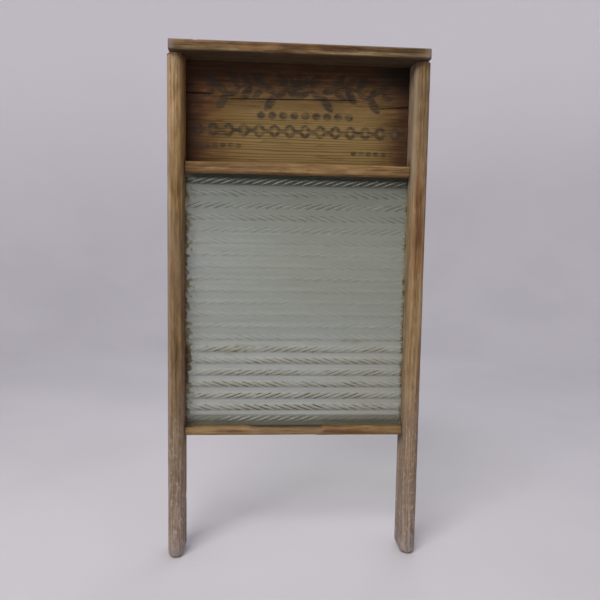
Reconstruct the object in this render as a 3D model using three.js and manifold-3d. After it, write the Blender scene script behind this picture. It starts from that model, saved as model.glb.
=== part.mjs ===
// Washboard: a pressed-glass rubbing panel held in a nailed wooden frame.
// Millimetres, +Z up, working face towards -Y. The origin is on the floor under the middle of the frame.
import * as THREE from 'three';
import { mergeVertices } from 'three/addons/utils/BufferGeometryUtils.js';
import Module from 'manifold-3d';

const wasm = await Module();
wasm.setup();

// Whole board
const HEIGHT = 597;
const WIDTH = 300;
const DEPTH = 44;
const FRONT = -DEPTH / 2;
const BACK = DEPTH / 2;
const GAP = 0.3;
const PAST = 1; // how far a cutter runs past the face it cuts
const WELD = 1e-4;

// Stiles: the two uprights, bull-nosed in front, whose lower ends are the legs
const STILE_WIDTH = 19;
const STILE_DEPTH = 36;
const STILE_FRONT = BACK - STILE_DEPTH;
const STILE_X = (WIDTH - STILE_WIDTH) / 2;
const INNER_X = WIDTH / 2 - STILE_WIDTH;
const FOOT_CHAMFER = 3;

// Cap: the top rail, nailed down on the stile ends, a little narrower than the frame
const CAP_LENGTH = 294;
const CAP_THICKNESS = 12;
const CAP_BOTTOM = HEIGHT - CAP_THICKNESS;
const CAP_EDGE_RADIUS = 1.5;

// Groove that takes the glass and the rails' tongues, and rebate that takes the head panel
const GROOVE_FRONT = 9.4;
const GROOVE_BACK = 15.4;
const GROOVE_DEPTH = 6;
const REBATE_FRONT = 16.9;
const REBATE_LAP = 6;

// Rails
const RAIL_FRONT = -1.2;
const RAIL_NOSE = 4.5;
const REAR_LIP = 10.5;
const RAIL_GROOVE = 3.5;
const MIDDLE_TOP = 469;
const MIDDLE_HEIGHT = 13.5;
const MIDDLE_BOTTOM = MIDDLE_TOP - MIDDLE_HEIGHT;
const BOTTOM_HEIGHT = 11;
const LEG_LENGTH = 145.5;
const BOTTOM_TOP = LEG_LENGTH + BOTTOM_HEIGHT;
const REBATE_SILL = MIDDLE_TOP - REBATE_LAP;

// Glass: a flat plate with rope mouldings pressed in both faces
const PLATE_FRONT = GROOVE_FRONT + GAP;
const PLATE_BACK = GROOVE_BACK - GAP;
const ROPE_ROWS = 21;
const ROPE_PITCH = 14.2;
const ROPE_WIDTH = 8.8;
const ROPE_CREST = 3;
const ROPE_RELIEF = 2.6;
const ROPE_END_MARGIN = 2.5;

// Nails
const NAIL = { shank: 1.1, head: 2.6, headThickness: 1, point: 4, length: 38, sides: 10 };
const BRAD = { shank: 0.7, head: 1.6, headThickness: 0.8, point: 2, length: 15, sides: 8 };
const CAP_NAIL_Y = [-5, 9];
const SIDE_NAIL_Y = 4.5;
const BRAD_SPACING = 64;

// Materials
const OLD_PINE = new THREE.Color(0.5, 0.36, 0.23);
const HONEY_PINE = new THREE.Color(0.56, 0.41, 0.25);
const DARK_PINE = new THREE.Color(0.34, 0.22, 0.12);
const PALE_GREEN = new THREE.Color(0.62, 0.68, 0.63);
const RUSTY_STEEL = new THREE.Color(0.24, 0.2, 0.18);

const board = new THREE.Group();

function wood(color) {
  return new THREE.MeshStandardMaterial({ color, roughness: 0.75, metalness: 0 });
}

function glass() {
  return new THREE.MeshStandardMaterial({
    color: PALE_GREEN, roughness: 0.12, metalness: 0, transparent: true, opacity: 0.45,
  });
}

function steel() {
  return new THREE.MeshStandardMaterial({ color: RUSTY_STEEL, roughness: 0.6, metalness: 0.8 });
}

function solid(geometry) {
  const bare = geometry.clone();
  bare.deleteAttribute('normal');
  bare.deleteAttribute('uv');
  const merged = mergeVertices(bare, WELD);
  return new wasm.Manifold(new wasm.Mesh({
    numProp: 3,
    vertProperties: merged.attributes.position.array,
    triVerts: Uint32Array.from(merged.index.array),
  }));
}

function addPart(name, body, material) {
  const { vertProperties, triVerts } = body.getMesh();
  const geometry = new THREE.BufferGeometry();
  geometry.setAttribute('position', new THREE.BufferAttribute(vertProperties, 3));
  geometry.setIndex(new THREE.BufferAttribute(triVerts, 1));
  geometry.computeVertexNormals();
  const mesh = new THREE.Mesh(geometry, material);
  mesh.name = name;
  board.add(mesh);
}

// A box given by its two corners
function block(low, high) {
  const [x, y, z] = high.map((value, i) => value - low[i]);
  const geometry = new THREE.BoxGeometry(x, y, z);
  geometry.translate(low[0] + x / 2, low[1] + y / 2, low[2] + z / 2);
  return solid(geometry);
}

// A bar along X: the outline's x is the board's Y, and its y is the board's Z
function bar(outline, length) {
  const options = { depth: length, bevelEnabled: false, curveSegments: 5 };
  const geometry = new THREE.ExtrudeGeometry(outline, options);
  geometry.translate(0, 0, -length / 2);
  geometry.applyMatrix4(new THREE.Matrix4().makeBasis(
    new THREE.Vector3(0, 1, 0), new THREE.Vector3(0, 0, 1), new THREE.Vector3(1, 0, 0),
  ));
  return solid(geometry);
}

// A turned piece whose profile runs up +Y, laid so that its top is at `head` and it runs along `inward`
function turned(profile, sides, head, inward) {
  const top = profile.at(-1)[1];
  const points = profile.map(([radius, height]) => new THREE.Vector2(radius, height - top));
  const geometry = new THREE.LatheGeometry(points, sides);
  const outward = new THREE.Vector3(...inward).negate();
  const turn = new THREE.Quaternion().setFromUnitVectors(new THREE.Vector3(0, 1, 0), outward);
  geometry.applyQuaternion(turn);
  geometry.translate(...head);
  return solid(geometry);
}

function nail(kind, head, inward) {
  const { shank, head: headRadius, headThickness, point, length, sides } = kind;
  const profile = [
    [0, 0], [shank, point], [shank, length - headThickness],
    [headRadius, length - headThickness], [headRadius, length], [0, length],
  ];
  return turned(profile, sides, head, inward);
}

// The hole that a nail is driven in, with its head let in flush
function nailHole(kind, head, inward) {
  const { shank, head: headRadius, headThickness, length, sides } = kind;
  const bottom = -length - GAP;
  const seat = -headThickness - GAP;
  const profile = [
    [0, bottom], [shank + GAP, bottom], [shank + GAP, seat],
    [headRadius + GAP, seat], [headRadius + GAP, PAST], [0, PAST],
  ];
  const mouth = head.map((value, i) => value - PAST * inward[i]);
  return turned(profile, sides, mouth, inward);
}

// Each nail has a name, a kind, the point at the middle of its head and the direction it is driven in
function frameNails(side, sign) {
  const down = CAP_NAIL_Y.map((y, i) => ({
    name: `cap_nail_${side}_${i + 1}`, kind: NAIL, head: [sign * STILE_X, y, HEIGHT], inward: [0, 0, -1],
  }));
  const railMiddles = { middle: MIDDLE_TOP - MIDDLE_HEIGHT / 2, bottom: LEG_LENGTH + BOTTOM_HEIGHT / 2 };
  const sideways = Object.entries(railMiddles).map(([rail, z]) => ({
    name: `${rail}_rail_nail_${side}`, kind: NAIL,
    head: [sign * WIDTH / 2, SIDE_NAIL_Y, z], inward: [-sign, 0, 0],
  }));
  return [...down, ...sideways];
}

// The head panel's brads go in from the back, through its lapped edges
function panelBrads(side, sign) {
  const lapX = sign * (INNER_X + REBATE_LAP / 2);
  const topZ = CAP_BOTTOM + REBATE_LAP / 2;
  const bottomZ = MIDDLE_TOP - REBATE_LAP / 2;
  const middleZ = (topZ + bottomZ) / 2;
  const places = {
    [`${side}_1`]: [lapX, middleZ - BRAD_SPACING / 2],
    [`${side}_2`]: [lapX, middleZ + BRAD_SPACING / 2],
    [`top_${side}`]: [sign * INNER_X / 2, topZ],
    [`bottom_${side}`]: [sign * INNER_X / 2, bottomZ],
  };
  return Object.entries(places).map(([place, [x, z]]) => ({
    name: `panel_brad_${place}`, kind: BRAD, head: [x, BACK - GAP, z], inward: [0, -1, 0],
  }));
}

const NAILS = [['left', -1], ['right', 1]].flatMap(
  ([side, sign]) => [...frameNails(side, sign), ...panelBrads(side, sign)],
);

function drilled(body) {
  return NAILS.reduce((piece, { kind, head, inward }) => piece.subtract(nailHole(kind, head, inward)), body);
}

function stile(sign) {
  const radius = STILE_WIDTH / 2;
  const outline = new THREE.Shape();
  outline.moveTo(radius, BACK);
  outline.lineTo(-radius, BACK);
  outline.lineTo(-radius, STILE_FRONT + radius);
  outline.absarc(0, STILE_FRONT + radius, radius, Math.PI, 2 * Math.PI);
  const geometry = new THREE.ExtrudeGeometry(outline, {
    depth: HEIGHT, curveSegments: 14,
    bevelThickness: FOOT_CHAMFER, bevelSize: FOOT_CHAMFER, bevelOffset: -FOOT_CHAMFER, bevelSegments: 2,
  });
  geometry.translate(sign * STILE_X, 0, FOOT_CHAMFER);
  const top = CAP_BOTTOM - GAP;
  const [lowX, highX] = [sign * (INNER_X - PAST), sign * (INNER_X + GROOVE_DEPTH)].sort((a, b) => a - b);
  const groove = block([lowX, GROOVE_FRONT, -PAST], [highX, GROOVE_BACK, REBATE_SILL]);
  const rebate = block([lowX, REBATE_FRONT, REBATE_SILL], [highX, BACK + PAST, HEIGHT]);
  const aboveTop = block([-WIDTH, FRONT, top], [WIDTH, BACK + PAST, HEIGHT + 2 * FOOT_CHAMFER + PAST]);
  return drilled(solid(geometry).subtract(aboveTop).subtract(groove).subtract(rebate));
}

function cap() {
  const r = CAP_EDGE_RADIUS;
  const outline = new THREE.Shape();
  outline.absarc(FRONT + r, CAP_BOTTOM + r, r, -Math.PI / 2, -Math.PI, true);
  outline.absarc(FRONT + r, HEIGHT - r, r, Math.PI, Math.PI / 2, true);
  outline.absarc(BACK - r, HEIGHT - r, r, Math.PI / 2, 0, true);
  outline.absarc(BACK - r, CAP_BOTTOM + r, r, 0, -Math.PI / 2, true);
  const lapX = INNER_X + GROOVE_DEPTH;
  const lapTop = CAP_BOTTOM + REBATE_LAP;
  const rebate = block([-lapX, REBATE_FRONT, CAP_BOTTOM - PAST], [lapX, BACK + PAST, lapTop]);
  return drilled(bar(outline, CAP_LENGTH).subtract(rebate));
}

// The rounded front edge of a rail, from its top line to its bottom line
function railNose(outline, bottom, top) {
  outline.absarc(RAIL_FRONT + RAIL_NOSE, top - RAIL_NOSE, RAIL_NOSE, Math.PI / 2, Math.PI);
  outline.absarc(RAIL_FRONT + RAIL_NOSE, bottom + RAIL_NOSE, RAIL_NOSE, Math.PI, 1.5 * Math.PI);
}

function withTongues(rail, low, high) {
  const reach = INNER_X + GROOVE_DEPTH - GAP;
  return rail.add(block([-reach, PLATE_FRONT, low], [reach, PLATE_BACK, high]));
}

function middleRail() {
  const grooveTop = MIDDLE_BOTTOM + RAIL_GROOVE;
  const outline = new THREE.Shape();
  railNose(outline, MIDDLE_BOTTOM, MIDDLE_TOP);
  outline.lineTo(GROOVE_FRONT, MIDDLE_BOTTOM);
  outline.lineTo(GROOVE_FRONT, grooveTop);
  outline.lineTo(GROOVE_BACK, grooveTop);
  outline.lineTo(GROOVE_BACK, MIDDLE_BOTTOM - REAR_LIP);
  outline.lineTo(BACK, MIDDLE_BOTTOM - REAR_LIP);
  outline.lineTo(BACK, REBATE_SILL);
  outline.lineTo(REBATE_FRONT, REBATE_SILL);
  outline.lineTo(REBATE_FRONT, MIDDLE_TOP);
  const rail = bar(outline, 2 * (INNER_X - GAP));
  return drilled(withTongues(rail, grooveTop, REBATE_SILL - GAP));
}

function bottomRail() {
  const grooveBottom = BOTTOM_TOP - RAIL_GROOVE;
  const outline = new THREE.Shape();
  railNose(outline, LEG_LENGTH, BOTTOM_TOP);
  outline.lineTo(BACK, LEG_LENGTH);
  outline.lineTo(BACK, BOTTOM_TOP + REAR_LIP);
  outline.lineTo(GROOVE_BACK, BOTTOM_TOP + REAR_LIP);
  outline.lineTo(GROOVE_BACK, grooveBottom);
  outline.lineTo(GROOVE_FRONT, grooveBottom);
  outline.lineTo(GROOVE_FRONT, BOTTOM_TOP);
  const rail = bar(outline, 2 * (INNER_X - GAP));
  return drilled(withTongues(rail, LEG_LENGTH, grooveBottom));
}

function headPanel() {
  const lapX = INNER_X + REBATE_LAP - GAP;
  const low = [-lapX, REBATE_FRONT + GAP, REBATE_SILL + GAP];
  const high = [lapX, BACK - GAP, CAP_BOTTOM + REBATE_LAP - GAP];
  return drilled(block(low, high));
}

// One rope moulding along X, standing on the plate's face at `base` and rising towards `crest`
function rope(base, crest, z) {
  return bar(new THREE.Shape([
    new THREE.Vector2(base, z - ROPE_WIDTH / 2),
    new THREE.Vector2(crest, z - ROPE_CREST / 2),
    new THREE.Vector2(crest, z + ROPE_CREST / 2),
    new THREE.Vector2(base, z + ROPE_WIDTH / 2),
  ]), 2 * (INNER_X - ROPE_END_MARGIN));
}

// The back has no rope behind the first and last rows, where the rails' rear lips are
function glassPanel() {
  const bottom = BOTTOM_TOP - RAIL_GROOVE + GAP;
  const top = MIDDLE_BOTTOM + RAIL_GROOVE - GAP;
  const middle = (bottom + top) / 2;
  const core = (PLATE_FRONT + PLATE_BACK) / 2;
  const reach = INNER_X + GROOVE_DEPTH - GAP;
  const lastRow = ROPE_ROWS - 1;
  let panel = block([-reach, PLATE_FRONT, bottom], [reach, PLATE_BACK, top]);
  for (let row = 0; row <= lastRow; row += 1) {
    const z = middle + (row - lastRow / 2) * ROPE_PITCH;
    panel = panel.add(rope(core, PLATE_FRONT - ROPE_RELIEF, z));
    if (row > 0 && row < lastRow) {
      panel = panel.add(rope(core, PLATE_BACK + ROPE_RELIEF, z));
    }
  }
  return panel;
}

addPart('stile_left', stile(-1), wood(OLD_PINE));
addPart('stile_right', stile(1), wood(OLD_PINE));
addPart('cap_rail', cap(), wood(OLD_PINE));
addPart('middle_rail', middleRail(), wood(HONEY_PINE));
addPart('bottom_rail', bottomRail(), wood(HONEY_PINE));
addPart('head_panel', headPanel(), wood(DARK_PINE));
addPart('glass_panel', glassPanel(), glass());
for (const { name, kind, head, inward } of NAILS) {
  addPart(name, nail(kind, head, inward), steel());
}

export default board;
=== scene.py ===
"""An old glass washboard on a pale floor: worn pine frame, pressed rope-twist glass, rusty nails."""
import math

import bmesh
import bpy
import numpy as np
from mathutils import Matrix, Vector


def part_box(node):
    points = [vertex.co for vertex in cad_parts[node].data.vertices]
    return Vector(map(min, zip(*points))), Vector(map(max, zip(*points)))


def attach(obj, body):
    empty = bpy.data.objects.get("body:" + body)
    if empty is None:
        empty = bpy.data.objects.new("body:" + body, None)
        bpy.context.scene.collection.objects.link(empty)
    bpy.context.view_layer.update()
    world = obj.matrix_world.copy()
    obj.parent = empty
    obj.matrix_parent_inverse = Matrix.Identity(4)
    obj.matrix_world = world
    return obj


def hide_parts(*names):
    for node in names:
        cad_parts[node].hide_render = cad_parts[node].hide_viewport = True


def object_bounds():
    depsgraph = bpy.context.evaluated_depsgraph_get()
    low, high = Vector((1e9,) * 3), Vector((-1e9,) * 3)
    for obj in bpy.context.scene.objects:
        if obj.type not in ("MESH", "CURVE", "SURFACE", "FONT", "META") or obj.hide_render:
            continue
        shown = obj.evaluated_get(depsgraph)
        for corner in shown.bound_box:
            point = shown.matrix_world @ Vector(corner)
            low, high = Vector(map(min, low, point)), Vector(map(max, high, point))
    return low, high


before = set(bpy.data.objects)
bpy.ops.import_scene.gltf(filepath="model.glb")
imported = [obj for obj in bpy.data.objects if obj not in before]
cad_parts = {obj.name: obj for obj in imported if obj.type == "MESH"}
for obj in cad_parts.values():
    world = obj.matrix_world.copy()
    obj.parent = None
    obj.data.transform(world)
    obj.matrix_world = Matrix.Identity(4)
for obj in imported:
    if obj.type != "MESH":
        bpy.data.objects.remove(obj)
CAD_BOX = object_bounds()

MM = 0.001
FINE = 1.0      # share of the full mesh density

# Joints of the frame, in millimetres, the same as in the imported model
STILE_IN, STILE_OUT = 131.0, 150.0
FRONT, BACK = -14.0, 22.0
CAP_FRONT, CAP_BOTTOM, CAP_TOP, CAP_END = -22.0, 585.0, 597.0, 147.0
GROOVE_FRONT, GROOVE_BACK, GROOVE_END = 9.4, 15.4, 137.0
REBATE, SILL, LAP_TOP = 16.9, 463.0, 591.0
RAIL_FRONT = -1.2
MIDDLE_LOW, MIDDLE_HIGH = 455.5, 469.0
BOTTOM_LOW, BOTTOM_HIGH = 145.5, 156.5
REAR_LIP, RAIL_GROOVE = 10.5, 3.5
RAIL_END, TONGUE_END = 130.7, 136.7
ROWS, PITCH, MIDDLE_ROW_Z = 21, 14.2, 306.0      # rope rows of the glass
GLASS_FRONT, GLASS_BACK = 9.7, 15.1
GLASS_LOW, GLASS_HIGH = 153.3, 458.7
BREAK_GAP = 0.02                       # how far on either side of a change of outline its sections are


# ---------------------------------------------------------------- shapes

def lumps(points, size, seed):
    """Smooth noise from -1 to 1 at points (n, 3), with lumps of the given size on each axis."""
    table_size = 32
    table = np.random.RandomState(seed).uniform(-1, 1, (table_size,) * 3)
    place = np.asarray(points) / np.asarray(size, float)
    cell = np.floor(place).astype(int)
    part = place - cell
    part = part * part * (3 - 2 * part)
    total = np.zeros(len(place))
    for corner in np.ndindex(2, 2, 2):
        share = np.prod(np.where(corner, part, 1 - part), axis=1)
        total += share * table[tuple(((cell + corner) % table_size).T)]
    return total


def smooth(value, low, high):
    """0 below low, 1 above high, and an even curve between them."""
    t = np.clip((value - low) / (high - low), 0, 1)
    return t * t * (3 - 2 * t)


def outline(corners, counts):
    """A closed section with rounded square corners (u, v, radius, steps).

    counts says how many more points the side after each corner has.
    """
    points, edge = [], []
    places = [np.array(corner[:2], float) for corner in corners]
    for i, (_, _, radius, steps) in enumerate(corners):
        here, before, after = places[i], places[i - 1], places[(i + 1) % len(places)]
        into = (here - before) / np.linalg.norm(here - before)
        out = (after - here) / np.linalg.norm(after - here)
        middle = here + radius * (out - into)
        for angle in np.linspace(0, math.pi / 2, steps + 1):
            points.append(middle + radius * (into * math.sin(angle) - out * math.cos(angle)))
            edge.append(math.sin(2 * angle) if radius < 2 else 0.3)
        ahead = corners[(i + 1) % len(corners)][2]
        start, stop = points[-1], after - out * ahead
        for step in range(1, counts[i] + 1):
            points.append(start + (stop - start) * step / (counts[i] + 1))
            edge.append(0.0)
    return np.array(points), np.array(edge)


def resample_like(section, model):
    """The section's outline with as many points as the model's, spread evenly by their order."""
    points, edge = section
    count, wanted = len(points), len(model[0])
    if count == wanted:
        return section
    place = np.linspace(0, count - 1, wanted)
    order = np.arange(count)
    columns = [np.interp(place, order, points[:, axis]) for axis in (0, 1)]
    return np.stack(columns, axis=1), np.interp(place, order, edge)


def stations(low, high, step, breaks, radii):
    """Places along a stick, and how far its section is drawn in there: rounded ends, doubled at breaks."""
    turn = np.linspace(0, math.pi / 2, 6)[:-1]
    inner = np.linspace(low + radii[0], high - radii[1], max(2, round((high - low) / step)))
    places = [(place, 0.0) for place in inner]
    places += [(place + side * BREAK_GAP, 0.0) for place in breaks for side in (-1, 1)]
    for end, radius, way in ((low, radii[0], 1), (high, radii[1], -1)):
        places += [(end + way * radius * (1 - math.cos(a)), radius * (1 - math.sin(a))) for a in turn]
    return sorted(places)


def skin(rings):
    """Faces of a tube through rings of points (rings, around, 3), with both ends filled."""
    count, around = rings.shape[:2]
    index = np.arange(count * around).reshape(count, around)
    ahead = np.roll(index, -1, axis=1)
    quads = np.stack([index[:-1], ahead[:-1], ahead[1:], index[1:]], axis=-1).reshape(-1, 4)
    return quads.tolist() + [index[0][::-1].tolist(), index[-1].tolist()]


def piece(name, node, vertices, faces, material, sharp=50.0, marks=None):
    """A mesh, from millimetres, that stands for a CAD node. marks are numbers kept at its vertices."""
    mesh = bpy.data.meshes.new(name)
    mesh.from_pydata((np.asarray(vertices) * MM).tolist(), [], faces)
    work = bmesh.new()
    work.from_mesh(mesh)
    bmesh.ops.recalc_face_normals(work, faces=work.faces)
    work.to_mesh(mesh)
    work.free()
    mesh.polygons.foreach_set("use_smooth", [True] * len(mesh.polygons))
    mesh.set_sharp_from_angle(angle=math.radians(sharp))
    for mark, values in (marks or {}).items():
        layer = mesh.attributes.new(mark, "FLOAT", "POINT")
        layer.data.foreach_set("value", np.asarray(values, np.float32))
    mesh.materials.append(material)
    made = bpy.data.objects.new(name, mesh)
    bpy.context.scene.collection.objects.link(made)
    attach(made, "root")
    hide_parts(node)
    return made


def sink(made, node, depth):
    """Moves each vertex inwards by its depth in millimetres, and keeps it in its node's box."""
    mesh = made.data
    count = len(mesh.vertices)
    place, normal = np.zeros(count * 3), np.zeros(count * 3)
    mesh.vertices.foreach_get("co", place)
    mesh.vertex_normals.foreach_get("vector", normal)
    place = (place - normal * np.repeat(depth * MM, 3)).reshape(-1, 3)
    place = np.clip(place, *(np.array(corner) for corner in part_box(node)))
    mesh.vertices.foreach_set("co", place.ravel())
    mesh.update()


def sized(grain, along, across):
    """A size for each axis: along on the axis that the wood's grain runs along, across on the other two."""
    return tuple(along if axis == grain else across for axis in range(3))


def worn(points, grain, edge, seed, rub):
    """How deep age has cut into wood at points in millimetres. rub is the wear of its edges."""
    wave = 0.12 * (1 + lumps(points, sized(grain, 70, 9), seed))
    ridge = 0.07 * (1 + lumps(points, sized(grain, 60, 2.3), seed + 1))
    dents = 1.1 * smooth(lumps(points, sized(grain, 13, 5), seed + 2), 0.55, 1.0)
    chips = edge * rub * (0.35 + smooth(lumps(points, sized(grain, 17, 60), seed + 3), 0.0, 0.9))
    return wave + ridge + dents + chips


def stick(name, node, axis, section, breaks, ends, step, radii, material, seed, extra=None, rub=0.6):
    """A length of wood along an axis, with section(place) as its outline there: (points, edge).

    step is the length of a mesh face, radii are those of its two ends, and extra(points) is more wear.
    """
    low, high = ends
    rings, marks = [], []
    for place, inset in stations(low, high, step / FINE, breaks, radii):
        points, edge = section(place)
        middle = (points.min(0) + points.max(0)) / 2
        half = (points.max(0) - points.min(0)) / 2
        points = middle + (points - middle) * (1 - inset / half)
        along = np.full((len(points), 1), place)
        rings.append(np.hstack([along, points] if axis == 0 else [points, along]))
        marks.append(np.maximum(edge, min(1.0, inset)))
    rings, marks = np.array(rings), np.concatenate(marks)
    flat = rings.reshape(-1, 3)
    made = piece(name, node, flat, skin(rings), material, marks={"edge": marks})
    depth = worn(flat, axis, marks, seed, rub)
    if extra is not None:
        depth = depth + extra(flat)
    sink(made, node, depth)


# ---------------------------------------------------------------- materials

def tone(red, green, blue):
    """A display colour from 0 to 255 as linear light."""
    light = tuple(((c / 255 + 0.055) / 1.055) ** 2.4 if c > 10 else c / 3294.6 for c in (red, green, blue))
    return light + (1.0,)


class Paint:
    """A material's nodes, written as formulas on the row frame's place in metres."""

    def __init__(self, name):
        self.material = bpy.data.materials.new(name)
        self.material.use_nodes = True
        self.tree = self.material.node_tree
        self.tree.nodes.clear()
        self.place = self.node("ShaderNodeTexCoord").outputs["Object"]
        self.x, self.y, self.z = self.node("ShaderNodeSeparateXYZ", {0: self.place}).outputs

    def node(self, kind, inputs=None, **settings):
        """A new node. inputs are sockets to link or constants."""
        made = self.tree.nodes.new(kind)
        for key, value in settings.items():
            setattr(made, key, value)
        for key, value in (inputs or {}).items():
            if isinstance(value, bpy.types.NodeSocket):
                self.tree.links.new(value, made.inputs[key])
            else:
                made.inputs[key].default_value = value
        return made

    def math(self, operation, a, b=0.0, c=0.0, clamp=False):
        made = self.node("ShaderNodeMath", {0: a, 1: b, 2: c}, operation=operation, use_clamp=clamp)
        return made.outputs[0]

    def add(self, a, b):
        return self.math("ADD", a, b)

    def times(self, a, b):
        return self.math("MULTIPLY", a, b)

    def step(self, value, low, high, bottom=0.0, top=1.0):
        """bottom where value is low, top where it is high, and smooth between."""
        return self.node("ShaderNodeMapRange", {0: value, 1: low, 2: high, 3: bottom, 4: top},
                         interpolation_type="SMOOTHSTEP").outputs[0]

    def noise(self, scale, detail=4.0, rough=0.55, bend=0.0, shift=0.0):
        """Noise with its own scale in lumps per metre on each axis."""
        moved = self.node("ShaderNodeMapping", {
            "Vector": self.place, "Location": (shift, shift * 0.7, shift * 1.3), "Scale": scale}).outputs[0]
        made = self.node("ShaderNodeTexNoise", {
            "Vector": moved, "Scale": 1.0, "Detail": detail, "Roughness": rough, "Distortion": bend})
        return made.outputs[0]

    def ramp(self, value, stops):
        """The colour at value, between stops of (value, colour)."""
        made = self.node("ShaderNodeValToRGB", {0: value})
        ramp = made.color_ramp
        while len(ramp.elements) < len(stops):
            ramp.elements.new(0.5)
        for element, (position, colour) in zip(ramp.elements, stops):
            element.position, element.color = position, colour
        return made.outputs[0]

    def mix(self, factor, a, b, blend="MIX"):
        made = self.node("ShaderNodeMix", {0: factor, 6: a, 7: b}, data_type="RGBA", blend_type=blend)
        return made.outputs[2]

    def mark(self, name):
        return self.node("ShaderNodeAttribute", attribute_name=name).outputs["Fac"]

    def near(self, points, inner, outer):
        """1 within inner of any of the points and 0 beyond outer, all in millimetres."""
        total = 0.0
        for point in points:
            target = tuple(value * MM for value in point)
            gap = self.node("ShaderNodeVectorMath", {0: self.place, 1: target}, operation="DISTANCE")
            close = self.step(gap.outputs["Value"], inner * MM, outer * MM, 1.0, 0.0)
            total = self.math("MAXIMUM", close, total)
        return total

    def surface(self, colour, roughness, height, lift, **sockets):
        """A shader whose bumps are lift millimetres high. The other sockets' names have _ for a space."""
        bump = self.node("ShaderNodeBump", {"Height": height, "Strength": 1.0, "Distance": lift * MM})
        inputs = {"Base Color": colour, "Roughness": roughness, "Normal": bump.outputs[0]}
        inputs.update((name.replace("_", " "), value) for name, value in sockets.items())
        return self.node("ShaderNodeBsdfPrincipled", inputs)

    def finish(self, shader):
        self.node("ShaderNodeOutputMaterial", {"Surface": shader.outputs[0]})
        return self.material


def aged_pine(name, grain, dark, middle, light, shift, nails=(), tint=None, gloss=0.55, checks=0.5):
    """Bare old pine, with rust around its nails. tint(paint, colour) adds what only one piece has."""
    paint = Paint(name)
    fibre = paint.noise(sized(grain, 14, 1000), 5, 0.6, 0.0, shift)
    streak = paint.noise(sized(grain, 8, 330), 4, 0.55, 0.5, shift + 3)
    bands = paint.noise(sized(grain, 3, 85), 3, 0.5, 0.9, shift + 5)
    patch = paint.noise((26, 26, 26), 3, 0.55, 0.0, shift + 7)
    fleck = paint.noise(sized(grain, 45, 190), 3, 0.6, 0.3, shift + 15)
    mixed = paint.add(paint.add(paint.times(fibre, 0.20), paint.times(fleck, 0.26)),
                      paint.add(paint.times(streak, 0.30), paint.times(bands, 0.24)))
    colour = paint.ramp(mixed, [(0.42, dark), (0.50, middle), (0.58, light)])
    # Resinous orange streaks and olive ones
    hue = paint.noise(sized(grain, 4, 60), 3, 0.5, 0.5, shift + 9)
    colour = paint.mix(paint.step(hue, 0.52, 0.66, 0.0, 0.6), colour, tone(205, 150, 95), "MULTIPLY")
    colour = paint.mix(paint.step(hue, 0.48, 0.36, 0.0, 0.6), colour, tone(215, 205, 150), "MULTIPLY")
    # Blotches of hand grease and water
    colour = paint.mix(paint.step(patch, 0.42, 0.70, 0.0, 0.35), colour, dark)
    # Drying checks: thin dark lines along the grain
    check = paint.noise(sized(grain, 7, 330), 2, 0.5, 0.2, shift + 11)
    line = paint.step(paint.math("ABSOLUTE", paint.add(check, -0.5)), 0.003, 0.016, 1.0, 0.0)
    where = paint.step(paint.noise(sized(grain, 16, 90), 2, 0.5, 0.0, shift + 13), 0.50, 0.62)
    line = paint.times(line, where)
    colour = paint.mix(paint.times(line, checks), colour, tone(38, 26, 18))
    # Edges rubbed pale and grey
    edge = paint.mark("edge")
    rubbed = paint.times(edge, paint.step(patch, 0.35, 0.65, 0.15, 0.6))
    colour = paint.mix(rubbed, colour, tone(150, 132, 108))
    if tint is not None:
        colour = tint(paint, colour)
    if nails:
        rust = paint.times(paint.near(nails, 2.2, 8.0), paint.step(streak, 0.35, 0.6, 0.35, 0.85))
        colour = paint.mix(rust, colour, tone(44, 28, 18))
    rough = paint.step(mixed, 0.35, 0.65, gloss + 0.2, gloss)
    coarse = paint.add(paint.times(streak, 0.8), paint.times(line, -1.6))
    height = paint.add(paint.times(fibre, 0.6), coarse)
    return paint.finish(paint.surface(colour, rough, height, 0.35, Specular_IOR_Level=0.2))


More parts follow.
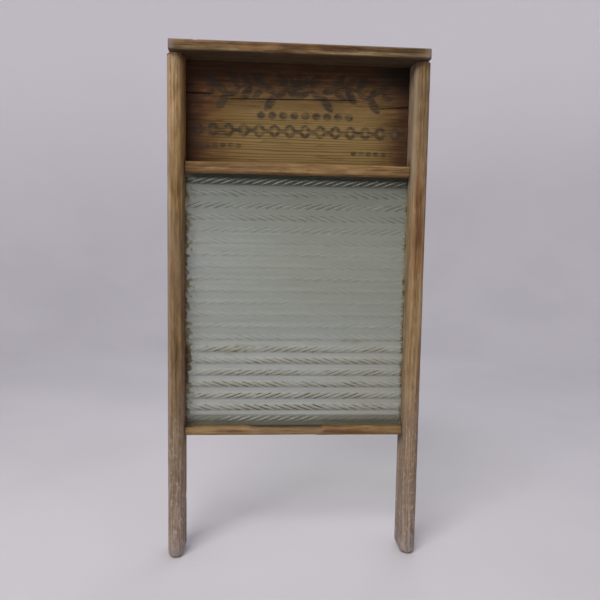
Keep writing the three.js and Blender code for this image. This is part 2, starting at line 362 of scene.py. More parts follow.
def stile_tint(sign):
    """Grey, water-worn legs, painted light and shade by height, a pale painted highlight on the corner of
    each stile that faces the key light, and soiling with painted shade at the joints. sign is -1 on the
    left.
    """
    heights = (0.20, 0.36, 0.62, 0.82, 0.97)        # shares of 0.6 m, each with its own shade
    painted_shades = (222, 212, 210, 252, 245) if sign < 0 else (226, 236, 236, 222, 205)
    pale = tone(160, 146, 126)

    def tint(paint, colour):
        blot = paint.noise((30, 30, 9), 4, 0.6, 0.0, 21)
        # Painted light and shade, with the wood's own tone: the stiles are lightened and darkened by
        # height, each side by its own ramp.
        painted_height_shade = paint.ramp(paint.times(paint.z, 1 / 0.6), [
            (place, tone(shade, shade, shade)) for place, shade in zip(heights, painted_shades)])
        colour = paint.mix(1.0, colour, painted_height_shade, "MULTIPLY")
        out = paint.add(paint.math("ABSOLUTE", paint.x), paint.times(blot, 0.002))
        inner = paint.step(out, 0.1375, 0.1335)
        if sign < 0:
            colour = paint.mix(paint.times(inner, 0.2), colour, tone(150, 110, 66))
            # Painted highlight: the outer corner of the left stile, which faces the key light, is made
            # pale.
            colour = paint.mix(paint.step(out, 0.1445, 0.1490, 0.0, 0.42), colour, pale)
        else:
            # Painted highlight: the inner corner of the right stile, which faces the key light, is made
            # pale, more so above the middle rail.
            rubbed = paint.times(inner, paint.step(paint.z, 0.40, 0.47, 0.15, 0.5))
            colour = paint.mix(rubbed, colour, pale)
        low = paint.step(paint.add(paint.z, paint.times(blot, 0.16)), 0.10, 0.36, 0.82, 0.0)
        fibre = paint.noise((800, 800, 16), 5, 0.6, 0.0, 23)
        grey = paint.ramp(fibre, [
            (0.3, tone(92, 76, 63)), (0.5, tone(138, 120, 106)), (0.68, tone(180, 167, 157))])
        specks = paint.noise((330, 330, 150), 4, 0.65, 0.0, 25)
        grey = paint.mix(paint.step(specks, 0.54, 0.64, 0.0, 0.6), grey, tone(196, 188, 180))
        grey = paint.mix(paint.step(specks, 0.45, 0.36, 0.0, 0.5), grey, tone(84, 70, 58))
        colour = paint.mix(low, colour, grey)
        foot = paint.step(paint.add(paint.z, paint.times(blot, 0.03)), 0.016, 0.05, 0.7, 0.0)
        colour = paint.mix(foot, colour, tone(150, 140, 134))
        # Darker near the rail joints and below the front of the cap: soiling and painted shade.
        corner = sign * STILE_IN
        joints = [(corner, 6, height) for height in (MIDDLE_LOW, MIDDLE_HIGH, BOTTOM_LOW, BOTTOM_HIGH)]
        dirt_and_shade = paint.near(joints + [(corner, -8, CAP_BOTTOM)], 2, 13)
        return paint.mix(paint.times(dirt_and_shade, 0.6), colour, tone(58, 42, 30))
    return tint


def cap_tint(paint, colour):
    """Grey weathered ends and top, and a painted shade on the underside."""
    along = paint.ramp(paint.math("MULTIPLY_ADD", paint.x, 1 / 0.3, 0.5), [
        (0.05, tone(226, 228, 220)), (0.30, tone(232, 234, 228)), (0.55, tone(255, 255, 250)),
        (0.80, tone(216, 212, 204)), (0.97, tone(192, 186, 180))])
    colour = paint.mix(1.0, colour, along, "MULTIPLY")
    ragged = paint.noise((120, 160, 260), 4, 0.65, 0.0, 19)
    reach = paint.add(paint.math("ABSOLUTE", paint.x), paint.times(ragged, 0.012))
    colour = paint.mix(paint.step(reach, 0.143, 0.150, 0.0, 0.75), colour, tone(118, 106, 96))
    top = paint.step(paint.z, 0.5945, 0.5965, 0.0, 0.4)
    colour = paint.mix(top, colour, tone(128, 116, 98))
    # Painted shade on the underside and the lowest edge of the front face.
    painted_underside_shade = paint.step(paint.z, 0.5852, 0.5868, 0.8, 0.0)
    return paint.mix(painted_underside_shade, colour, tone(72, 57, 42))


def panel_tint(paint, colour):
    """Golden middle, brown sides, painted shade along both edges, a grimy top and upper right corner that
    also carry painted shade, close grain lines and faded ink.
    """
    bare = paint.mix(0.35, colour, tone(112, 98, 78))
    blot = paint.noise((14, 14, 40), 4, 0.6, 0.4, 31)
    side = paint.math("ABSOLUTE", paint.x)
    low = paint.step(paint.add(paint.z, paint.times(blot, 0.05)), 0.53, 0.60, 1.0, 0.0)
    gold = paint.times(low, paint.step(paint.add(side, paint.times(blot, 0.05)), 0.10, 0.15, 1.0, 0.0))
    colour = paint.mix(paint.times(gold, 0.8), colour, tone(129, 108, 64))
    bend = paint.noise((5, 5, 60), 2, 0.5, 0.0, 33)
    ring_pitch = 0.0032
    waved = paint.add(paint.z, paint.times(bend, 0.010))
    bands = paint.math("SINE", paint.times(waved, 2 * math.pi / ring_pitch))
    lines = paint.times(paint.step(bands, 0.0, 0.8), paint.step(paint.z, 0.55, 0.49, 0.1, 0.7))
    colour = paint.mix(lines, colour, tone(84, 60, 30))
    brown = paint.step(paint.add(paint.x, paint.times(blot, 0.04)), -0.02, -0.09)
    colour = paint.mix(paint.times(brown, 0.8), colour, tone(208, 186, 145), "MULTIPLY")
    # Painted shade down both edges, where the stiles shade the panel.
    painted_side_shade = paint.step(paint.add(side, paint.times(blot, 0.02)), 0.116, 0.139, 0.0, 0.8)
    # The top is darkened by soiling and by painted shade below the cap.
    top = paint.step(paint.add(paint.z, paint.times(blot, 0.02)), 0.562, 0.592, 0.0, 0.85)
    colour = paint.mix(paint.math("MAXIMUM", painted_side_shade, top), colour, tone(54, 33, 16))
    # The upper right corner, below the cap and beside the stile, is darkened by soiling and painted shade.
    corner = paint.near([(131, 17, 585)], 14, 54)
    colour = paint.mix(paint.times(corner, 0.85), colour, tone(26, 18, 13))
    fade = paint.step(paint.noise((60, 60, 190), 4, 0.7, 0.3, 37), 0.34, 0.60, 0.25, 0.9)
    colour = paint.mix(paint.times(paint.mark("ink"), fade), colour, tone(44, 38, 30))
    return paint.mix(paint.step(paint.y, 0.0205, 0.0213), colour, bare)


def pressed_glass():
    """Pale green pressed glass, dull from use, with a milky coating that also carries painted highlights,
    dark grooves of soiling and painted shade, and brown water stains.
    """
    paint = Paint("pressed_glass")
    line, stain, film_and_highlight = (paint.mark(mark) for mark in ("line", "stain", "film_and_highlight"))
    cloud = paint.noise((30, 30, 60), 4, 0.6, 0.3, 41)
    fine = paint.noise((420, 420, 900), 4, 0.65, 0.0, 43)
    mottled = paint.times(stain, paint.step(fine, 0.3, 0.7, 0.75, 1.25))
    brown = paint.ramp(mottled, [(0.10, tone(148, 149, 137)), (0.40, tone(136, 132, 106)),
                                 (0.70, tone(106, 95, 74)), (1.0, tone(62, 48, 34))])
    stained = paint.step(mottled, 0.0, 0.55)
    wipe = paint.noise((12, 12, 520), 3, 0.6, 0.0, 45)
    # The milky coating mark also carries the painted highlights beside the grooves.
    haze_and_highlight = paint.times(film_and_highlight, paint.step(cloud, 0.3, 0.7, 0.75, 1.2))
    haze_and_highlight = paint.math("MULTIPLY", haze_and_highlight, paint.step(wipe, 0.3, 0.7, 0.75, 1.2), clamp=True)
    # The clear glass is darker at the top, a painted shade, and yellower on the right, where the milky
    # coating is browner too
    tint = paint.mix(paint.step(paint.z, 0.47, 0.36), (0.25, 0.27, 0.23, 1.0), (0.46, 0.49, 0.45, 1.0))
    right = paint.times(paint.step(paint.x, -0.12, 0.02), paint.step(paint.z, 0.24, 0.34))
    tint = paint.mix(right, tint, (0.87, 0.88, 0.81, 1.0), "MULTIPLY")
    # One colour for the milky coating and the painted highlights alike.
    milk_and_highlight = paint.mix(paint.step(paint.z, 0.28, 0.25), tone(151, 156, 146), tone(155, 158, 155))
    milk_and_highlight = paint.mix(paint.step(paint.x, 0.0, 0.1), milk_and_highlight, (0.90, 0.87, 0.80, 1.0), "MULTIPLY")
    colour = paint.mix(haze_and_highlight, tint, milk_and_highlight)
    # Dark groove lines: soiling and painted shade in the grooves between the strands.
    colour = paint.mix(paint.times(line, 1.4), colour, tone(58, 62, 50))
    colour = paint.mix(stained, colour, brown)
    dirt_and_shade = paint.math("MAXIMUM", paint.times(line, 0.95), paint.times(stained, 0.9))
    solid = paint.math("MAXIMUM", haze_and_highlight, dirt_and_shade)
    clear = paint.math("SUBTRACT", 1.0, solid, clamp=True)
    rough = paint.math("MULTIPLY_ADD", solid, 0.15, 0.60, clamp=True)
    wave = paint.noise((70, 70, 45), 3, 0.5, 0.0, 47)
    shader = paint.surface(colour, rough, paint.add(wave, paint.times(fine, 0.05)), 0.25,
                           Transmission_Weight=clear, IOR=1.5, Specular_IOR_Level=0.3)
    # Light reaches what is behind the glass
    lamp = paint.node("ShaderNodeLightPath").outputs["Is Shadow Ray"]
    pass_through = paint.node("ShaderNodeBsdfTransparent", {"Color": (0.70, 0.74, 0.66, 1.0)})
    mixed = paint.node("ShaderNodeMixShader", {0: lamp, 1: shader.outputs[0], 2: pass_through.outputs[0]})
    return paint.finish(mixed)


def rusty_steel():
    """Brown rust with a little bare metal."""
    paint = Paint("rusty_steel")
    coarse = paint.noise((500, 500, 500), 5, 0.65, 0.0, 51)
    fine = paint.noise((2600, 2600, 2600), 3, 0.6, 0.0, 53)
    colour = paint.ramp(coarse, [
        (0.32, tone(38, 29, 24)), (0.52, tone(84, 52, 34)), (0.70, tone(132, 84, 50))])
    rough = paint.step(coarse, 0.3, 0.7, 0.5, 0.9)
    metal = paint.step(coarse, 0.35, 0.5, 0.7, 0.0)
    height = paint.add(coarse, paint.times(fine, 0.4))
    return paint.finish(paint.surface(colour, rough, height, 0.25, Metallic=metal))


def pale_floor():
    """Pale grey, with painted light that makes it lighter up the wall."""
    paint = Paint("pale_floor")
    mottle = paint.noise((3, 3, 3), 3, 0.5, 0.0, 61)
    colour = paint.mix(paint.step(mottle, 0.3, 0.7), tone(202, 199, 204), tone(208, 205, 210))
    # Painted light: lighter up the wall.
    colour = paint.mix(paint.step(paint.z, 0.05, 1.5), colour, tone(240, 236, 242))
    return paint.finish(paint.surface(colour, 0.6, mottle, 0.1))


# ---------------------------------------------------------------- frame members

NAIL_NODES = [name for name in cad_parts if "_nail_" in name or "_brad_" in name]


def nail_place(node):
    """The middle of a nail's head, the way it is driven, its head radius and its length, in millimetres."""
    low, high = (np.array(corner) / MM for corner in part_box(node))
    size, middle = high - low, (low + high) / 2
    axis = int(np.argmax(size))
    outward = 1.0 if axis or middle[0] > 0 else -1.0
    head = middle.copy()
    head[axis] = high[axis] if outward > 0 else low[axis]
    inward = np.zeros(3)
    inward[axis] = -outward
    return head, inward, np.delete(size, axis).max() / 2, size[axis]


def heads(*words):
    """The nail heads whose node names hold every word."""
    return [tuple(nail_place(node)[0]) for node in NAIL_NODES if all(word in node for word in words)]


def stile(side, sign):
    """A stile, bull-nosed in front, grooved for the glass and rebated for the head panel above it."""
    nose = 9.45
    outer = [(STILE_IN, FRONT, nose, 16), (STILE_OUT, FRONT, nose, 16), (STILE_OUT, BACK, 1.2, 4)]
    grooved = outline(outer + [
        (STILE_IN, BACK, 0.9, 4), (STILE_IN, GROOVE_BACK, 0.5, 2), (GROOVE_END, GROOVE_BACK, 0.4, 2),
        (GROOVE_END, GROOVE_FRONT, 0.4, 2), (STILE_IN, GROOVE_FRONT, 0.5, 2),
    ], [0, 22, 14, 4, 3, 3, 3, 12])
    rebated = outline(outer + [
        (GROOVE_END, BACK, 0.9, 4), (GROOVE_END, 20.4, 0.5, 2), (GROOVE_END, 19.0, 0.4, 2),
        (GROOVE_END, REBATE, 0.4, 2), (STILE_IN, REBATE, 0.5, 2),
    ], [0, 22, 14, 1, 1, 1, 3, 15])
    rebated = resample_like(rebated, grooved)

    def section(place):
        points, edge = grooved if place < SILL else rebated
        return points * (sign, 1), edge

    def foot(points):
        """The foot is worn round and uneven."""
        near = smooth(points[:, 2], 12, 0)
        return near * 0.5 * (1 + lumps(points, (7, 7, 9), 90 + sign))

    pine = aged_pine(f"stile_pine_{side}", 2, tone(108, 82, 50), tone(147, 118, 78), tone(176, 150, 111),
                     2.0 + 3 * sign, heads("rail_nail", side), stile_tint(sign), checks=0.25)
    stick(f"stile_{side}_wood", f"stile_{side}", 2, section, breaks=[SILL], ends=(0.0, CAP_BOTTOM - 0.3),
          step=3.0, radii=(4.5, 0.2), material=pine, seed=10 + 3 * sign, extra=foot)


def cap():
    """The cap board, rebated between the stiles for the head panel."""
    upper = [(CAP_FRONT, CAP_BOTTOM, 1.5, 5), (CAP_FRONT, CAP_TOP, 1.5, 5), (BACK, CAP_TOP, 1.3, 4)]
    counts = [10, 34, 9, 1, 1, 28]
    full = outline(upper + [
        (BACK, CAP_BOTTOM, 1.0, 4), (19.4, CAP_BOTTOM, 0.4, 2), (REBATE, CAP_BOTTOM, 0.4, 2)], counts)
    cut = outline(upper + [
        (BACK, LAP_TOP, 1.0, 4), (REBATE, LAP_TOP, 0.4, 2), (REBATE, CAP_BOTTOM, 0.4, 2)], counts)
    pine = aged_pine("cap_pine", 0, tone(68, 52, 34), tone(118, 97, 66), tone(152, 131, 97), 14.0,
                     heads("cap_nail"), cap_tint)
    stick("cap_wood", "cap_rail", 0, lambda place: cut if abs(place) < GROOVE_END else full,
          breaks=[-GROOVE_END, GROOVE_END], ends=(-CAP_END, CAP_END), step=2.6, radii=(1.2, 1.2),
          material=pine, seed=30, rub=0.9)


def rubbed_tint(paint, colour):
    """Paler and greyer where clothes have rubbed the middle of the rail."""
    middle = paint.times(paint.step(paint.x, -0.066, -0.046), paint.step(paint.x, 0.036, 0.030))
    return paint.mix(paint.times(middle, 0.35), colour, tone(146, 124, 94))


def rail(name, body, tongue, step, seed, shift, tint=None, extra=None):
    """A rail of honey pine along x: its body between the stiles, and a tongue at each end."""
    pine = aged_pine(f"{name}_pine", 0, tone(88, 62, 32), tone(124, 96, 57), tone(150, 124, 82), shift,
                     tint=tint, gloss=0.45, checks=0.35)
    stick(f"{name}_wood", name, 0, lambda place: body(place) if abs(place) < RAIL_END else tongue,
          breaks=[-RAIL_END, RAIL_END], ends=(-TONGUE_END, TONGUE_END), step=step, radii=(0.2, 0.2),
          material=pine, seed=seed, extra=extra)


def middle_rail():
    """The rail above the glass, rounded in front, lipped behind the glass and rebated for the panel."""
    counts = [4, 12, 3, 3, 10, 4, 6, 3, 2, 6]
    lip, groove = MIDDLE_LOW - REAR_LIP, MIDDLE_LOW + RAIL_GROOVE
    body = outline([
        (RAIL_FRONT, MIDDLE_LOW, 4.5, 8), (RAIL_FRONT, MIDDLE_HIGH, 4.5, 8), (REBATE, MIDDLE_HIGH, 0.6, 2),
        (REBATE, SILL, 0.4, 2), (BACK, SILL, 0.8, 3), (BACK, lip, 0.8, 3), (GROOVE_BACK, lip, 0.8, 3),
        (GROOVE_BACK, groove, 0.4, 2), (GROOVE_FRONT, groove, 0.4, 2), (GROOVE_FRONT, MIDDLE_LOW, 0.6, 2),
    ], counts)
    low, high = groove + 0.1, SILL - 0.3
    tongue = outline([
        (GLASS_FRONT, low, 0.3, 8), (GLASS_FRONT, high, 0.3, 8), (11.0, high, 0.3, 2), (12.4, high, 0.3, 2),
        (GLASS_BACK, high, 0.3, 3), (GLASS_BACK, high - 1.1, 0.3, 3), (GLASS_BACK, low + 1.3, 0.3, 3),
        (GLASS_BACK, low, 0.3, 2), (13.2, low, 0.3, 2), (11.4, low, 0.3, 2),
    ], counts)
    rail("middle_rail", lambda place: body, tongue, step=2.6, seed=40, shift=17.0)


def bottom_rail():
    """The rail below the glass, rounded in front, with a lip behind the glass."""
    counts = [3, 6, 2, 4, 6, 4, 12, 16]
    lip, groove = BOTTOM_HIGH + REAR_LIP, BOTTOM_HIGH - RAIL_GROOVE

    def body(place):
        """The section there. Along the middle its front is rubbed down, up to a splintered end."""
        top = BOTTOM_HIGH - 2.3 * smooth(place, -64, -40) * smooth(place, 36, 32)
        return outline([
            (RAIL_FRONT, BOTTOM_LOW, 3.6, 8), (RAIL_FRONT, top, 4.5, 8), (GROOVE_FRONT, top, 0.6, 2),
            (GROOVE_FRONT, groove, 0.4, 2), (GROOVE_BACK, groove, 0.4, 2), (GROOVE_BACK, lip, 0.8, 3),
            (BACK, lip, 0.8, 3), (BACK, BOTTOM_LOW, 1.0, 3),
        ], counts)

    low, high = BOTTOM_LOW + 0.1, groove - 0.2
    tongue = outline([
        (GLASS_FRONT, low, 0.3, 8), (GLASS_FRONT, high, 0.3, 8), (11.0, high, 0.3, 2), (12.2, high, 0.3, 2),
        (13.4, high, 0.3, 2), (GLASS_BACK, high, 0.3, 3), (GLASS_BACK, low + 3.4, 0.3, 3),
        (GLASS_BACK, low, 0.3, 3),
    ], counts)

    def chafed(points):
        """The underside is chafed as far as a hanging splinter."""
        return 0.7 * smooth(points[:, 0], 28, 26) * smooth(points[:, 2], BOTTOM_LOW + 1.5, BOTTOM_LOW)

    rail("bottom_rail", body, tongue, step=2.2, seed=50, shift=19.0, tint=rubbed_tint, extra=chafed)


# ---------------------------------------------------------------- head panel

def crack_path(x):
    """Height and width of the head panel's split at x: three stretches that jump to the next one."""
    left = 549.0 + 0.004 * (x + 110)
    centre = 543.4 + 0.018 * (x + 90)
    right = 535.5 + 0.09 * (x - 80)
    height = left + (centre - left) * smooth(x, -97, -90) + (right - centre) * smooth(x, 77, 83)
    wide = 1.3 * smooth(x, -96, -112) + 0.75 * smooth(x, -88, -70) * smooth(x, 70, 20)
    wide = wide + 0.5 * smooth(x, -88, -80) * smooth(x, 76, 60) + 1.1 * smooth(x, 84, 120)
    return height, wide


def stroke(start, stop, width, bow=0.0):
    """Points (x, z, half width) along a slightly bowed stroke, thick in the middle."""
    t = np.linspace(0, 1, 40)[:, None]
    start, stop = np.array(start, float), np.array(stop, float)
    line = start + (stop - start) * t
    line[:, 1] += bow * np.sin(math.pi * t[:, 0])
    half = width * (0.3 + 0.7 * np.sin(math.pi * t))
    return np.hstack([line, half])


def vine(x):
    """Height of the printed vine's stem at x."""
    return 556 + 5 * math.cos(2 * math.pi * x / 56)


def ornament():
    """A plain printed ornament: a leafy vine over a row of beads and a chain of lozenges."""
    strokes = [stroke((x, vine(x)), (x + 4.5, vine(x + 4.5)), 1.5) for x in np.arange(-108, 104, 4)]
    for k in range(1, 8):
        for sign in (-1, 1):
            x, way = sign * k * 14, 1 if k % 2 else -1
            strokes.append(stroke((x, vine(x)), (x + sign * 11, vine(x) + way * 18), 4.8, 2.0 * way))
            strokes.append(stroke((x, vine(x)), (x + sign * 13, vine(x) - way * 9), 3.2, -1.5 * way))
    for angle in np.linspace(0, math.pi, 5):
        tip = (13 * math.cos(angle), 554 + 21 * math.sin(angle))
        strokes.append(stroke((0, 548), tip, 3.6))
    strokes += [stroke((x - 3, 526), (x + 3, 526), 4.0) for x in np.arange(-44, 61, 13)]
    for x in np.arange(-118, 126, 18):
        corners = [(x - 6.5, 508), (x, 515), (x + 6.5, 508), (x, 501)]
        strokes += [stroke(corners[k - 1], corners[k], 2.1) for k in range(4)]
        strokes.append(stroke((x + 7.5, 508), (x + 10.5, 508), 2.2))
    strokes += [stroke((x, 490), (x + 5, 490), 2.5) for x in np.arange(-118, -70, 9)]
    strokes += [stroke((x, 484), (x + 5, 484), 2.4) for x in np.arange(64, 118, 9)]
    return np.concatenate(strokes)


def ink_at(x, z, strokes):
    """How black the print is at each place: 1 inside a stroke, soft at its edge."""
    best = np.full(len(x), 9.0)
    for px, pz, half in strokes:
        close = np.abs(x - px) < 12
        gap = np.hypot(x[close] - px, z[close] - pz) - half
        best[close] = np.minimum(best[close], gap)
    return smooth(best, 1.2, -0.7)


def head_panel():
    """The panel, split across, with its print. It is drawn as rings around it from one end to the other."""
    low, high = SILL + 0.3, 590.7
    front, back = 17.2, 21.7
    columns = np.linspace(-TONGUE_END, TONGUE_END, int(230 * FINE))
    rings = []
    for x in columns:
        height, wide = crack_path(x)
        wide = wide + 0.02
        below = np.linspace(low, height - wide / 2, int(84 * FINE))
        above = np.linspace(height + wide / 2, high, int(46 * FINE))
        deep = 2.6 * smooth(wide, 0.05, 0.5)
        bottom = [height - wide / 5, height + wide / 5]
        z = np.concatenate([below, bottom, above, np.linspace(high, low, 34)])
        y = np.full(len(z), front)
        y[len(below):len(below) + 2] += deep
        y[len(below) + 2 + len(above):] = back
        # Both lips of the split have sprung forward a little
        lip = np.exp(-np.abs(z - height) / 2.5) * smooth(wide, 0.1, 0.8)
        on_front = y < back
        y[on_front] -= 0.15 * lip[on_front]
        rings.append(np.stack([np.full(len(z), x), y, z], axis=1))
    rings = np.array(rings)
    flat = rings.reshape(-1, 3)
    on_front = flat[:, 1] < front + 0.5
    ink = ink_at(flat[:, 0], flat[:, 2], ornament()) * on_front
    pine = aged_pine("panel_pine", 0, tone(54, 36, 19), tone(90, 62, 35), tone(118, 90, 56), 23.0,
                     heads("brad"), panel_tint, gloss=0.6)
    made = piece("head_panel_wood", "head_panel", flat, skin(rings), pine,
                 marks={"edge": np.zeros(len(flat)), "ink": ink})
    off_rim = np.abs(flat[:, 1] - (front + back) / 2) > 1.6
    depth = 0.12 * (1 + lumps(flat, (60, 9, 2.4), 61)) + 0.10 * (1 + lumps(flat, (40, 40, 30), 62))
    sink(made, "head_panel", depth * off_rim)


# ---------------------------------------------------------------- glass

RELIEF, TWIST = 2.6, 0.36              # height of a rope, and the share of it that its grooves cut away
STRANDS, LEAD = 4, 47.6                # strands in a rope, and how far they run in one turn
ROPE_REACH, ROPE_HALF = 130.4, 4.4     # half a rope's length and half its width
ROPE_TAPER = 3                         # length over which its end rounds off


def row_height(row):
    """The middle of a rope row, counted from the top."""
    return MIDDLE_ROW_Z + ((ROWS - 1) / 2 - row) * PITCH


def rope_height(x, z, row):
    """How far a row's rope stands out at x and z, and how near a groove, a vein or a lit flank is there."""
    way = 1 if row % 2 == 0 else -1
    across = np.clip((z - row_height(row)) / ROPE_HALF, -1, 1)
    start = 2.4 * math.sin(row * 7.3)                                       # differs from row to row
    turn = way * 2 * math.pi * x / LEAD + start - across * math.pi / 2
    strand = np.mod(turn * STRANDS / (2 * math.pi), 1)                      # 0 and 1 are in the grooves
    aside = np.abs(strand * 2 - 1)
    rib = np.cos(across * math.pi / 2) ** 1.3
    ends = np.sqrt(1 - np.clip((np.abs(x) - ROPE_REACH + ROPE_TAPER) / ROPE_TAPER, 0, 1) ** 2)
    height = RELIEF * rib * ends * (1 - TWIST * (1 - np.cos(aside * math.pi / 2) ** 0.7))
    body = smooth(rib, 0.02, 0.35) * ends
    groove = smooth(aside, 0.68, 0.98) * body
    vein = smooth(np.abs(strand - 0.55), 0.10, 0.02) * body
    flank = smooth(strand, 0.04, 0.13) * smooth(strand, 0.34, 0.20) * body
    return height, groove, vein, flank


def glass_rows():
    """Heights of the mesh's rows up the plate, close together on the ropes."""
    on_rope, between = int(15 * FINE), int(2 * FINE)
    places = [GLASS_LOW, GLASS_LOW + 1.5]
    for row in reversed(range(ROWS)):
        middle = row_height(row)
        places += list(np.linspace(middle - ROPE_HALF, middle + ROPE_HALF, on_rope))
        if row:
            gap = np.linspace(middle + ROPE_HALF, middle + PITCH - ROPE_HALF, between + 2)
            places += list(gap[1:-1])
    return np.array(places + [GLASS_HIGH - 2, GLASS_HIGH])


def glass_marks(x, z, height, groove, vein, flank):
    """Dark groove lines of soiling and painted shade, brown stain, and a milky coating with painted
    highlights, each from 0 to 1.
    """
    points = np.stack([x, np.zeros(len(x)), z], axis=1)
    soaked = smooth(z, 274, 246)                    # the part that stood in the tub
    above_lip = smooth(z, 168, 170.5)
    inside = smooth(np.abs(x + 2), 123, 104)
    patch = smooth(lumps(points, (24, 9, 10), 71), -0.5, 0.3)
    speck = smooth(lumps(points, (5, 9, 2.5), 79), -0.6, 0.5)
    broad = smooth(lumps(points, (34, 9, 7), 72), -0.1, 0.7) * (0.4 + 0.6 * speck)
    on_rope = smooth(height, 0.15, 1.2)
    top_row = smooth(z, 438, 446)
    high = smooth(z, 300, 440)
    upper = smooth(z, 372, 420)
    deep = smooth(z, 222, 182)
    # Groove lines, strongest in the upper rows: soiling and painted shade in the grooves.
    line = (groove + 0.4 * vein) * (0.30 + 0.10 * high + 0.62 * upper + 0.05 * top_row + 0.20 * soaked)
    line = line * (0.55 + 0.45 * patch)
    joint = np.maximum(smooth(z, 159, 156.5), smooth(z, 452, 455))
    line = np.maximum(line, 0.8 * joint)
    strokes = (groove + 0.2 * vein) * (0.50 + 0.50 * patch) * (0.5 + 0.5 * speck) * (1 + 0.9 * deep)
    stain = soaked * above_lip * inside * (on_rope * (0.07 + 0.12 * patch) + strokes)
    band = smooth(z, 267, 260) * smooth(z, 234, 246)
    stain = np.maximum(stain, 0.36 * broad * band * inside)
    for place in (-117, -107, 103):
        tide = np.exp(-((x - place - 1.5 * lumps(points, (9, 9, 14), 73)) / 1.3) ** 2)
        stain = np.maximum(stain, 0.3 * tide * speck * smooth(z, 168, 176) * smooth(z, 268, 255))
    # Soiling and painted shade against the stiles, with a ragged edge
    reach = 128.6 + 2.4 * lumps(points, (60, 9, 1.6), 75)
    sides = smooth(np.abs(x) - reach, -1.0, 1.4) * smooth(lumps(points, (60, 9, 14), 76), -0.7, 0.2)
    reach = 125 + 3.5 * lumps(points, (60, 9, 3.4), 77)
    blots = smooth(-x - reach, -1.2, 1.2) * smooth(z, 198, 212) * smooth(z, 262, 250)
    tinge = smooth(-x, 114, 127) * smooth(lumps(points, (4, 9, 4), 78), -0.3, 0.6)
    stain = np.maximum(stain, np.maximum(0.6 * sides, np.maximum(0.85 * blots, 0.55 * tinge)))
    last_row = smooth(z, 171, 168) * smooth(x, -92, -70) * smooth(x, 40, 10)
    scum = soaked * above_lip * (0.12 + 0.45 * (1 - on_rope))
    # The coating thins towards the top: partly the deposit, partly painted shade that darkens the top of
    # the glass.
    film_and_highlight = (0.14 + 0.12 * smooth(z, 430, 330)) * (0.5 + 0.5 * above_lip) + scum
    # Painted highlight: a pale strip on the flank beside each groove, strongest in the upper rows, the top
    # and last rows and the soaked part.
    lit = 0.14 + 0.10 * high + 0.46 * upper + 0.15 * top_row + 0.6 * last_row
    lit = lit + above_lip * 0.28 * (soaked + deep)
    film_and_highlight = film_and_highlight + flank * lit
    return line, stain, np.minimum(film_and_highlight, 1.0)


def glass_panel():
    """The pressed glass: a plate with ropes on both faces. The back has no first and last row."""
    z_rows = glass_rows()
    ribbed = np.linspace(-130.6, 130.6, int(290 * FINE))
    columns = np.concatenate([[-TONGUE_END, -133.5], ribbed, [133.5, TONGUE_END]])
    shape = len(columns), len(z_rows)
    x, z = (part.ravel() for part in np.meshgrid(columns, z_rows, indexing="ij"))
    row_of = np.clip(np.round((ROWS - 1) / 2 - (z - MIDDLE_ROW_Z) / PITCH), 0, ROWS - 1).astype(int)
    shapes = np.zeros((4, len(x)))
    for row in range(ROWS):
        here = row_of == row
        shapes[:, here] = rope_height(x[here], z[here], row)
    height = shapes[0]
    back_height = height * ((row_of > 0) & (row_of < ROWS - 1))
    slack = 0.05                                    # keeps both faces inside the CAD's
    front = np.stack([x, GLASS_FRONT - height + slack, z], axis=1).reshape(*shape, 3)
    back = np.stack([x, GLASS_BACK + back_height - slack, z], axis=1).reshape(*shape, 3)
    rings = np.concatenate([front, back[:, ::-1]], axis=1)
    marks = {}
    for mark, values, behind in zip(("line", "stain", "film_and_highlight"), glass_marks(x, z, *shapes), (0.0, 0.0, 0.4)):
        values = values.reshape(shape)
        marks[mark] = np.concatenate([values, values[:, ::-1] * behind], axis=1).ravel()
    piece("glass_panel_pressed", "glass_panel", rings.reshape(-1, 3), skin(rings), pressed_glass(),
          sharp=80.0, marks=marks)


# ---------------------------------------------------------------- nails

def nail(node, steel):
    """A wire nail with a slightly domed, battered head."""
    head, inward, radius, length = nail_place(node)
    shank = radius * 0.42
    dome, rim = 0.25 * radius, 0.30 * radius
    head_profile = [                                # how far out and how far down
        (0.001, 0.0), (0.35 * radius, 0.02 * dome), (0.7 * radius, 0.35 * dome),
        (0.95 * radius, 0.8 * dome), (radius, dome + 0.3 * rim), (0.97 * radius, dome + 0.8 * rim),
        (shank * 1.2, dome + 1.4 * rim)]
    profile = head_profile + [
        (shank, dome + 2.4 * rim), (shank, length - 5 * shank), (0.45 * shank, length - 1.6 * shank),
        (0.001, length)]
    axis = int(np.argmax(np.abs(inward)))
    across = [np.eye(3)[k] for k in range(3) if k != axis]
    around = 28
    angles = np.linspace(0, 2 * math.pi, around, endpoint=False)
    rings = np.array([
        [head + inward * down + out * (across[0] * math.cos(a) + across[1] * math.sin(a)) for a in angles]
        for out, down in profile])
    flat = rings.reshape(-1, 3)
    made = piece(f"{node}_steel", node, flat, skin(rings), steel, sharp=60.0)
    on_head = np.arange(len(flat)) < around * len(head_profile)
    sink(made, node, 0.10 * (1 + lumps(flat, (1.3, 1.3, 1.3), 81)) * on_head)


# ---------------------------------------------------------------- stage

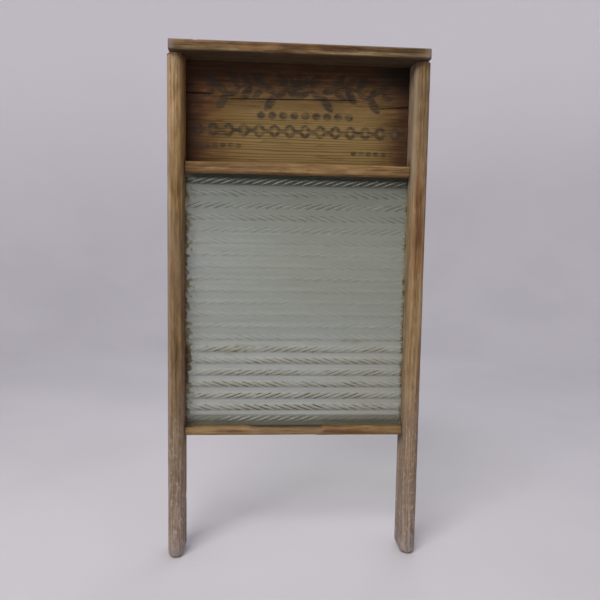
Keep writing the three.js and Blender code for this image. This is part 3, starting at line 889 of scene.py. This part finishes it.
def sweep():
    """A pale floor that curves up into a far round wall, seen the same from every side."""
    floor_radius, bend, wall_top = 1.5, 0.9, 2.4
    profile = [(0.02, 0.0), (floor_radius, 0.0)]
    turn = np.linspace(0.1, math.pi / 2, 14)
    profile += [(floor_radius + bend * math.sin(a), bend * (1 - math.cos(a))) for a in turn]
    profile += [(floor_radius + bend, wall_top)]
    angles = np.linspace(0, 2 * math.pi, 96, endpoint=False)
    rings = np.array([[(r * math.cos(a), r * math.sin(a), z) for a in angles] for r, z in profile])
    faces = skin(rings)[:-1]                        # open at the top
    mesh = bpy.data.meshes.new("sweep")
    mesh.from_pydata(rings.reshape(-1, 3).tolist(), [], faces)
    mesh.polygons.foreach_set("use_smooth", [True] * len(mesh.polygons))
    mesh.materials.append(pale_floor())
    made = bpy.data.objects.new("floor_sweep", mesh)
    bpy.context.scene.collection.objects.link(made)


def area_light(name, place, size, power, colour):
    """A soft square light that faces the middle of the board and isn't seen through the glass."""
    lamp = bpy.data.lights.new(name, "AREA")
    lamp.shape, lamp.size, lamp.energy, lamp.color = "SQUARE", size, power, colour
    made = bpy.data.objects.new(name, lamp)
    made.location = place
    made.visible_transmission = False
    aim = (CAD_BOX[0] + CAD_BOX[1]) / 2 - made.location
    made.rotation_euler = aim.to_track_quat("-Z", "Y").to_euler()
    bpy.context.scene.collection.objects.link(made)


def camera():
    """Close in front of the board, a little above its middle and to its left."""
    tilt_down, roll, turn = 5.05, -0.94, -3.83
    lens = bpy.data.cameras.new("camera")
    lens.sensor_width, lens.lens = 36.0, 36.0
    made = bpy.data.objects.new("camera", lens)
    made.location = (-0.0441, -0.7054, 0.3724)
    made.rotation_euler = [math.radians(angle) for angle in (90 - tilt_down, roll, turn)]
    bpy.context.scene.collection.objects.link(made)
    bpy.context.scene.camera = made


def air():
    """An even, slightly cool light from all around."""
    world = bpy.data.worlds.new("studio")
    world.use_nodes = True
    light = world.node_tree.nodes["Background"]
    light.inputs["Color"].default_value = (0.93, 0.95, 1.0, 1.0)
    light.inputs["Strength"].default_value = 0.43
    bpy.context.scene.world = world


camera()
air()
sweep()
area_light("key", (-0.70, -1.25, 1.60), size=1.0, power=30.0, colour=(1.0, 0.97, 0.93))
area_light("fill", (0.5, 1.3, 1.6), size=1.2, power=5.0, colour=(0.95, 0.97, 1.0))
bpy.context.scene.view_settings.view_transform = "Standard"

for side, sign in (("left", -1), ("right", 1)):
    stile(side, sign)
cap()
middle_rail()
bottom_rail()
head_panel()
glass_panel()
steel = rusty_steel()
for node in NAIL_NODES:
    nail(node, steel)
